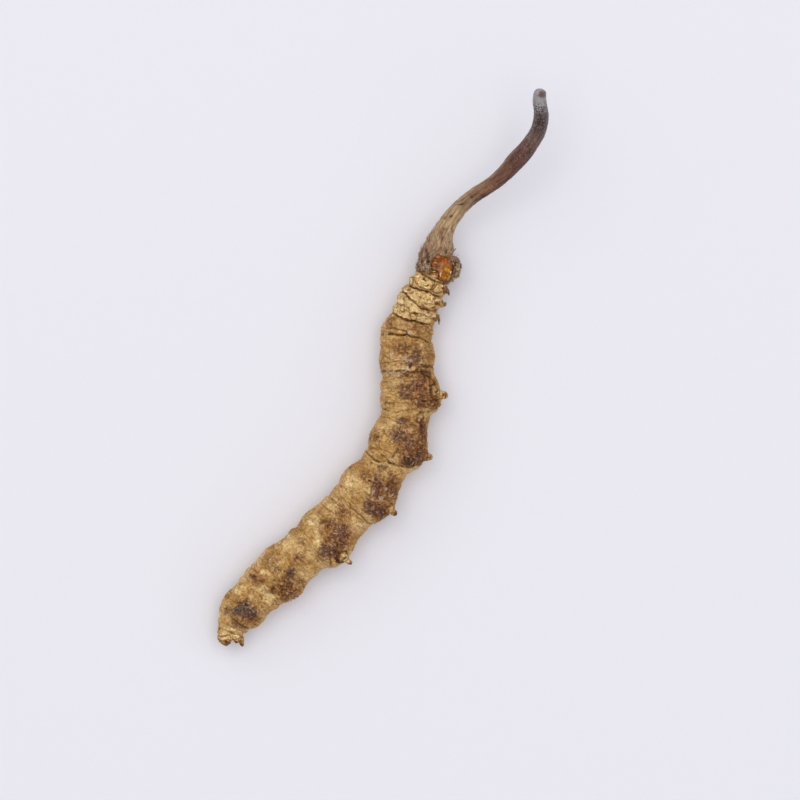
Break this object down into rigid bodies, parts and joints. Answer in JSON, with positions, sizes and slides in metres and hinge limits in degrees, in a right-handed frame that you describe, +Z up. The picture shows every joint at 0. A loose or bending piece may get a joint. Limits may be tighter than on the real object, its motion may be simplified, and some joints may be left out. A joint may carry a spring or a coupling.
{
  "type": "dried cordyceps fungus",
  "caption": "Dried cordyceps fungus lying on its side: a creased ochre moth larva with prolegs, an amber head capsule and a slender dark stalk that rises from a torn collar round the head.",
  "frame": {"origin": "middle of the object's box, on the surface it rests on", "axes": "+Z up, +Y from the tail towards the stalk's tip along the longest extent, +X towards the larva's belly"},
  "size_m": [0.0361, 0.0612, 0.011],
  "materials": {
    "larva_body": "dry wrinkled ochre skin with brown crusty patches, matt",
    "head_capsule": "hard amber shell, glossy and a little translucent",
    "fungus_stalk": "dry fibrous flesh, tan at the collar and dark brown with a pale bloom towards the tip, matt"
  },
  "bodies": {
    "root": {"larva_body": "larva_body", "head_capsule": "head_capsule", "fungus_stalk": "fungus_stalk"}
  },
  "joints": []
}
